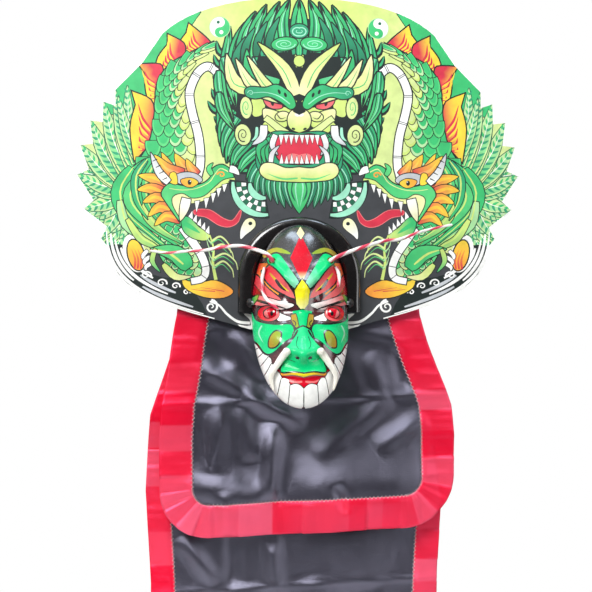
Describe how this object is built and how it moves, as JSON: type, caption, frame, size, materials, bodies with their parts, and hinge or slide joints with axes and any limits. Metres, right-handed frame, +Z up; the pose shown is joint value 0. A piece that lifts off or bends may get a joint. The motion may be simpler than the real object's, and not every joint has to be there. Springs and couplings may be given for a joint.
{
  "type": "dance dragon head with crest panel",
  "caption": "Carved dragon head with a snapping lower jaw on a printed fan-shaped crest panel, with wire whiskers and two hanging layers of bordered satin cloth.",
  "frame": {"origin": "middle of the upper cross batten's back face, where the object hangs on a wall", "axes": "+Z up along the crest and the hanging cloth, +Y out of the object's back, +X to the right of a viewer who faces the dragon"},
  "size_m": [0.5758, 0.1373, 0.992],
  "materials": {
    "printed_sheet": "printed sheet in greens, with a soft sheen",
    "backing_board": "dark closed-cell foam board",
    "bare_wood": "plain sanded softwood",
    "black_lacquer": "black gloss lacquer over carved wood",
    "head_paint": "gloss enamel over carved wood, in green, red, yellow, black and white",
    "jaw_paint": "gloss enamel over carved wood",
    "eye_enamel": "gloss enamel",
    "tusk_enamel": "gloss white enamel",
    "striped_wire": "white wire with red helical stripes",
    "brass": "dull brass",
    "steel": "zinc plated",
    "black_cap": "black gloss",
    "black_satin": "black satin with a grey-violet sheen",
    "red_satin": "red satin ribbon"
  },
  "bodies": {
    "head_and_panel": {"crest_face_sheet": "printed_sheet", "crest_backing_board": "backing_board", "spine_batten": "bare_wood", "upper_cross_batten": "bare_wood", "cloth_rail": "bare_wood", "left_rail_spacer": "bare_wood", "middle_rail_spacer": "bare_wood", "right_rail_spacer": "bare_wood", "head_grip_dowel": "bare_wood", "head_collar": "black_lacquer", "head_shell": "head_paint", "left_eye": "eye_enamel", "right_eye": "eye_enamel", "left_tusk": "tusk_enamel", "right_tusk": "tusk_enamel", "left_face_curl": "striped_wire", "right_face_curl": "striped_wire", "left_whisker_socket": "brass", "right_whisker_socket": "brass", "upper_left_collar_screw": "steel", "upper_right_collar_screw": "steel", "lower_left_collar_screw": "steel", "lower_right_collar_screw": "steel", "left_batten_screw": "steel", "right_batten_screw": "steel", "left_rail_screw": "steel", "middle_rail_screw": "steel", "right_rail_screw": "steel", "jaw_hinge_rod": "steel", "left_hinge_cap": "black_cap", "right_hinge_cap": "black_cap", "front_cloth_upper": "black_satin", "rear_cloth_header": "black_satin", "front_border_upper_left": "red_satin", "front_border_upper_right": "red_satin"},
    "lower_jaw": {"lower_jaw": "jaw_paint", "jaw_grip_dowel": "bare_wood"},
    "left_whisker": {"left_whisker": "striped_wire"},
    "right_whisker": {"right_whisker": "striped_wire"},
    "front_flap": {"front_cloth_flap": "black_satin", "front_border_flap": "red_satin"},
    "rear_cloth": {"rear_cloth_upper": "black_satin", "rear_border_upper_left": "red_satin", "rear_border_upper_right": "red_satin"},
    "rear_tail": {"rear_cloth_tail": "black_satin", "rear_border_tail": "red_satin"}
  },
  "joints": [
    {"name": "jaw_snap", "type": "hinge", "parent": "head_and_panel", "child": "lower_jaw", "pos_m": [0, -0.0514, -0.253], "axis": [1, 0, 0], "range_deg": [0, 27]},
    {"name": "left_whisker_bob", "type": "hinge", "parent": "head_and_panel", "child": "left_whisker", "pos_m": [-0.037, -0.07639, -0.199], "axis": [0, -1, 0], "range_deg": [-8, 8], "stiffness_Nm_per_rad": 0.02},
    {"name": "right_whisker_bob", "type": "hinge", "parent": "head_and_panel", "child": "right_whisker", "pos_m": [0.037, -0.07639, -0.199], "axis": [0, -1, 0], "range_deg": [-8, 8], "stiffness_Nm_per_rad": 0.02},
    {"name": "front_flap_lift", "type": "hinge", "parent": "head_and_panel", "child": "front_flap", "pos_m": [0, -0.0135, -0.379], "axis": [-1, 0, 0], "range_deg": [0, 45]},
    {"name": "rear_cloth_swing", "type": "hinge", "parent": "head_and_panel", "child": "rear_cloth", "pos_m": [0, -0.0013, -0.251], "axis": [1, 0, 0], "range_deg": [0, 60]},
    {"name": "rear_tail_fold", "type": "hinge", "parent": "rear_cloth", "child": "rear_tail", "pos_m": [0, -0.0013, -0.619], "axis": [1, 0, 0], "range_deg": [0, 75]}
  ]
}
